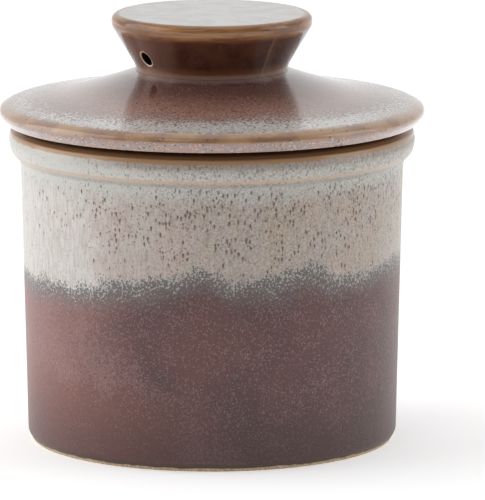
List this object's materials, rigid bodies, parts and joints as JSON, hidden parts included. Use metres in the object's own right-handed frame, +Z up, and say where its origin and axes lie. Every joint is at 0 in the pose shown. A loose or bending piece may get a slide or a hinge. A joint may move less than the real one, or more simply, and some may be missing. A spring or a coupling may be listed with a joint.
{
  "type": "butter crock",
  "caption": "Round glazed stoneware butter crock: a collared pot for water, and a knobbed lid that hangs an inverted butter cup inside it.",
  "frame": {"origin": "centre of the pot's foot, on the surface it stands on", "axes": "+Z up along the axis of the crock, -Y towards the front; the vent in the knob faces front left"},
  "size_m": [0.11, 0.11, 0.111],
  "materials": {
    "pot_glaze": "reactive glaze, cream grey over maroon brown, semi-gloss",
    "lid_glaze": "glossy grey-mauve reactive glaze that breaks to tan at the edge",
    "knob_glaze": "glossy brown glaze with a pooled grey top",
    "bell_glaze": "glossy brown glaze, thinner at the lip"
  },
  "bodies": {
    "pot": {"crock_pot": "pot_glaze"},
    "lid": {"lid_plate": "lid_glaze", "lid_knob": "knob_glaze", "butter_bell": "bell_glaze"}
  },
  "joints": [
    {"name": "lid_lift", "type": "slide", "parent": "pot", "child": "lid", "axis": [0, 0, 1], "range_m": [0, 0.08]}
  ]
}
